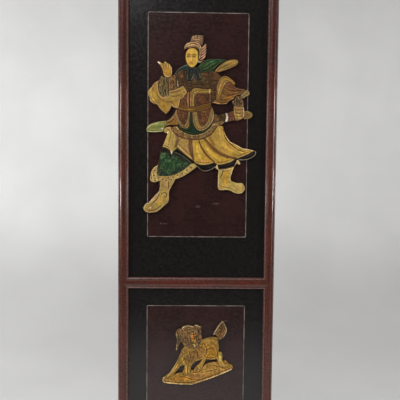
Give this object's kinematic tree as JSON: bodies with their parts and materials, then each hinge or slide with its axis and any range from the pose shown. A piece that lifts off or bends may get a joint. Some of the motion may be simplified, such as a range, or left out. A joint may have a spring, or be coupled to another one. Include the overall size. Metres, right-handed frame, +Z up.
{
  "type": "inlaid hardstone wall plaque",
  "caption": "Tall wall plaque: lacquered boards in a hardwood frame, with a carved soapstone swordsman above and a guardian lion on its rock below.",
  "frame": {"origin": "middle of the top rail's back face, where the plaque bears on the wall", "axes": "+Z up the plaque, +X to the right seen from the front, +Y out of the back towards the wall; the carved front faces -Y"},
  "size_m": [0.305, 0.025, 0.914],
  "materials": {
    "hardwood": "varnished dark red-brown, glossy, worn paler along the edges",
    "lacquer": "black lacquer with a dark red-brown lacquered field, fine craquelure",
    "stringing": "pale inlaid line, dulled",
    "soapstone_yellow": "honey-yellow soapstone, waxed",
    "soapstone_tan": "tan soapstone, waxed",
    "soapstone_brown": "brown soapstone, waxed",
    "soapstone_green": "mottled green soapstone, waxed",
    "soapstone_slate": "dark blue-green soapstone, waxed",
    "soapstone_sage": "pale green soapstone, waxed",
    "soapstone_black": "near-black soapstone, polished"
  },
  "bodies": {
    "root": {"left_stile": "hardwood", "right_stile": "hardwood", "top_rail": "hardwood", "cross_rail": "hardwood", "bottom_rail": "hardwood", "upper_board": "lacquer", "lower_board": "lacquer", "upper_line": "stringing", "lower_line": "stringing", "face": "soapstone_yellow", "raised_hand": "soapstone_yellow", "sword_hand": "soapstone_yellow", "raised_sleeve": "soapstone_yellow", "skirt_front": "soapstone_yellow", "skirt_middle": "soapstone_yellow", "skirt_left": "soapstone_yellow", "skirt_right": "soapstone_yellow", "left_boot": "soapstone_yellow", "right_boot": "soapstone_yellow", "scarf_lining": "soapstone_yellow", "lion_base": "soapstone_yellow", "chest_trim": "soapstone_tan", "left_tasset_border": "soapstone_tan", "right_tasset_border": "soapstone_tan", "sleeve_edge": "soapstone_tan", "trouser_border": "soapstone_tan", "pommel": "soapstone_tan", "lion_body": "soapstone_tan", "belt": "soapstone_tan", "sash": "soapstone_tan", "cap_band": "soapstone_brown", "cap_crown": "soapstone_brown", "cap_wing": "soapstone_brown", "forearm_lining": "soapstone_brown", "left_tasset": "soapstone_brown", "right_tasset": "soapstone_brown", "left_pauldron": "soapstone_brown", "right_pauldron": "soapstone_brown", "breastplate": "soapstone_brown", "waist_left": "soapstone_brown", "waist_right": "soapstone_brown", "right_sleeve": "soapstone_brown", "tunic_hem": "soapstone_brown", "grip": "soapstone_brown", "lion_head": "soapstone_brown", "lion_tail": "soapstone_brown", "scarf": "soapstone_green", "trouser_panel": "soapstone_green", "apron": "soapstone_green", "scarf_knot": "soapstone_slate", "raised_cuff": "soapstone_slate", "trouser_band": "soapstone_slate", "collar": "soapstone_slate", "guard": "soapstone_slate", "right_cuff": "soapstone_slate", "blade": "soapstone_sage", "cuff_flare": "soapstone_sage", "hem_left": "soapstone_black", "hem_middle": "soapstone_black", "hem_right": "soapstone_black"}
  },
  "joints": []
}
